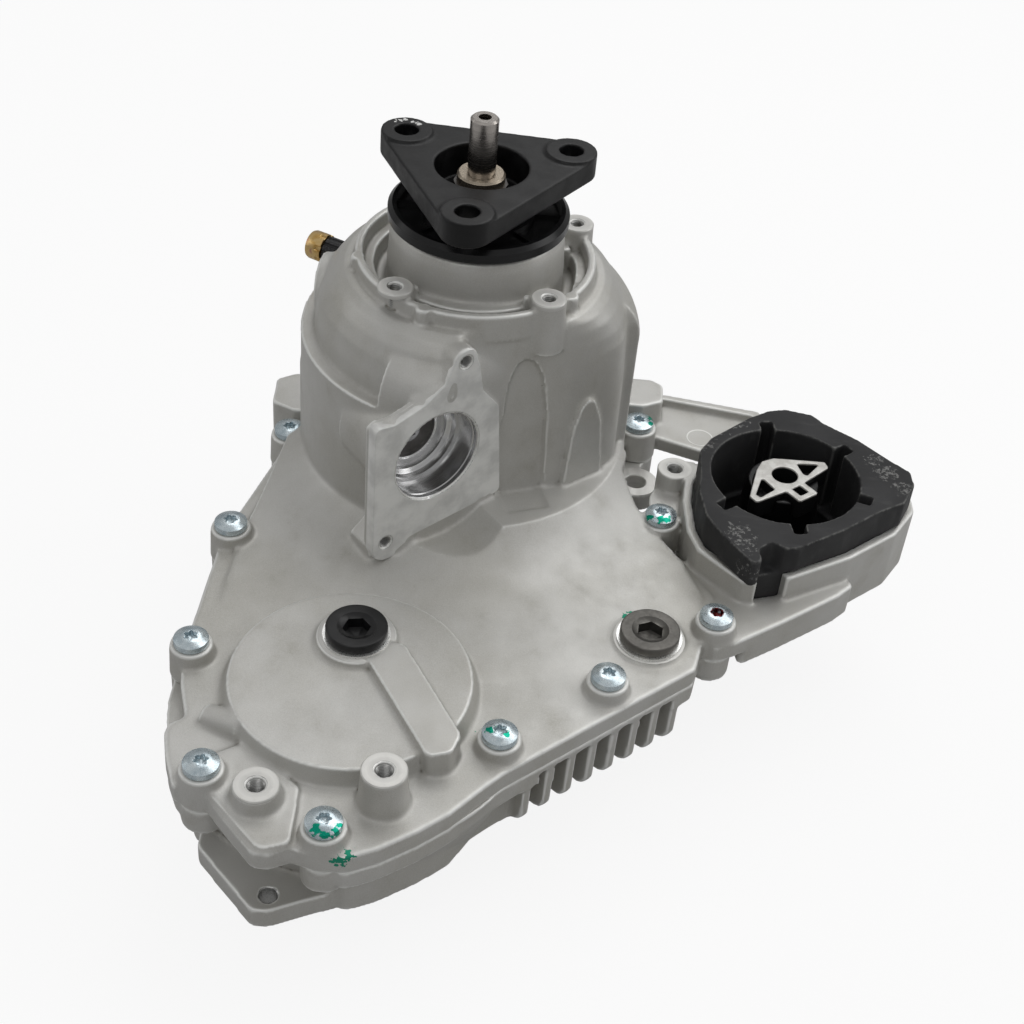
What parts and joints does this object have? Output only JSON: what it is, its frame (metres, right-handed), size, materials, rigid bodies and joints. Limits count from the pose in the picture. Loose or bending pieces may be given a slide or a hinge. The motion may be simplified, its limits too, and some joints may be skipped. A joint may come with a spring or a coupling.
{
  "type": "transfer case",
  "caption": "Single-speed transfer case with a chain drive, a clutch worked by a worm, a three-arm rear flange, a front output and a rubber mount bracket.",
  "frame": {"origin": "where the main shaft's axis meets the gearbox mating face", "axes": "+Z along the main shaft towards the rear output, +X towards the rubber mount"},
  "size_m": [0.3726, 0.3966, 0.2954],
  "materials": {
    "cast_aluminium": "sand-blasted die casting",
    "machined_aluminium": "turned or milled",
    "zinc_steel": "bright zinc plate",
    "steel": "ground steel",
    "dark_steel": "black oxide",
    "bearing_steel": "polished",
    "black_paint": "satin black paint",
    "black_plastic": "moulded",
    "rubber": "moulded rubber",
    "seal_rubber": "moulded rubber",
    "yellow_metal": "yellow passivated",
    "bronze": "sintered bronze",
    "friction_paper": "friction lining"
  },
  "bodies": {
    "housing": {"rear_housing": "cast_aluminium", "front_housing": "cast_aluminium", "perimeter_bolts": "zinc_steel", "dowel_sleeves": "steel", "fill_plug": "dark_steel", "fill_plug_seal": "machined_aluminium", "drain_plug": "dark_steel", "drain_plug_seal": "machined_aluminium", "breather_body": "black_plastic", "breather_cap": "yellow_metal", "mount_rubber": "rubber", "mount_core": "machined_aluminium", "rear_shaft_seal": "seal_rubber", "input_seal": "seal_rubber", "front_output_seal": "seal_rubber", "rear_bearing_outer_ring": "bearing_steel", "front_bearing_outer_ring": "bearing_steel", "lower_bearing_outer_ring": "bearing_steel", "upper_bearing_outer_ring": "bearing_steel", "support_ring": "steel", "worm_bushes": "bronze", "chain": "steel"},
    "main_shaft": {"main_shaft": "steel", "rear_output_flange": "black_paint", "flange_nut": "dark_steel", "shaft_collar": "bronze", "centring_pin": "steel", "dust_shield": "black_plastic", "clutch_hub": "steel", "friction_plates": "friction_paper", "rear_bearing_inner_ring": "bearing_steel", "front_bearing_inner_ring": "bearing_steel", "return_spring": "steel"},
    "rear_balls": {"rear_bearing_balls": "bearing_steel"},
    "front_balls": {"front_bearing_balls": "bearing_steel"},
    "drum": {"clutch_drum": "steel", "steel_plates": "steel", "upper_sprocket": "steel", "needle_cage": "bearing_steel"},
    "front_output": {"front_output_shaft": "steel", "lower_sprocket": "steel", "front_output_flange": "dark_steel", "front_dust_ring": "black_paint", "front_nut": "dark_steel", "lower_bearing_inner_ring": "bearing_steel", "upper_bearing_inner_ring": "bearing_steel"},
    "lower_balls": {"lower_bearing_balls": "bearing_steel"},
    "pressure_plate": {"pressure_plate": "steel"},
    "ramp_ring": {"ramp_ring": "steel", "thrust_bearing": "bearing_steel"},
    "ramp_balls": {"ramp_balls": "bearing_steel"},
    "control_ring": {"control_ring": "steel", "support_bearing": "bearing_steel"},
    "worm": {"worm_shaft": "steel"}
  },
  "joints": [
    {"name": "main_shaft_spin", "type": "hinge", "parent": "housing", "child": "main_shaft", "pos_m": [0, 0, 0.2], "axis": [0, 0, 1], "continuous": true},
    {"name": "rear_balls_spin", "type": "hinge", "parent": "housing", "child": "rear_balls", "pos_m": [0, 0, 0.2], "axis": [0, 0, 1], "continuous": true},
    {"name": "front_balls_spin", "type": "hinge", "parent": "housing", "child": "front_balls", "pos_m": [0, 0, 0.02], "axis": [0, 0, 1], "continuous": true},
    {"name": "drum_spin", "type": "hinge", "parent": "housing", "child": "drum", "pos_m": [0, 0, 0.09], "axis": [0, 0, 1], "continuous": true},
    {"name": "front_output_spin", "type": "hinge", "parent": "housing", "child": "front_output", "pos_m": [-0.03749, -0.18677, 0.05], "axis": [0, 0, 1], "continuous": true},
    {"name": "lower_balls_spin", "type": "hinge", "parent": "housing", "child": "lower_balls", "pos_m": [-0.03749, -0.18677, 0.05], "axis": [0, 0, 1], "continuous": true},
    {"name": "control_ring_turn", "type": "hinge", "parent": "housing", "child": "control_ring", "pos_m": [0, 0, 0.14], "axis": [0, 0, 1], "range_deg": [0, 48]},
    {"name": "worm_turn", "type": "hinge", "parent": "housing", "child": "worm", "pos_m": [-0.04641, -0.04035, 0.153], "axis": [0.6561, -0.7547, 0], "range_deg": [-2880, 0]},
    {"name": "ramp_balls_turn", "type": "hinge", "parent": "housing", "child": "ramp_balls", "pos_m": [0, 0, 0.118], "axis": [0, 0, 1], "range_deg": [0, 24]},
    {"name": "ramp_ring_slide", "type": "slide", "parent": "housing", "child": "ramp_ring", "axis": [0, 0, -1], "range_m": [0, 0.0005]},
    {"name": "pressure_plate_slide", "type": "slide", "parent": "drum", "child": "pressure_plate", "axis": [0, 0, -1], "range_m": [0, 0.0005], "deforming": ["return_spring"]}
  ],
  "couplings": [
    {"joint": "rear_balls_spin", "follows": "main_shaft_spin", "ratio": 0.4065},
    {"joint": "front_balls_spin", "follows": "main_shaft_spin", "ratio": 0.43},
    {"joint": "front_output_spin", "follows": "drum_spin", "ratio": 1},
    {"joint": "lower_balls_spin", "follows": "drum_spin", "ratio": 0.408},
    {"joint": "worm_turn", "follows": "control_ring_turn", "ratio": -60},
    {"joint": "ramp_balls_turn", "follows": "control_ring_turn", "ratio": 0.5},
    {"joint": "ramp_ring_slide", "follows": "control_ring_turn", "m_per_rad": 0.0005968},
    {"joint": "pressure_plate_slide", "follows": "control_ring_turn", "m_per_rad": 0.0005968}
  ]
}
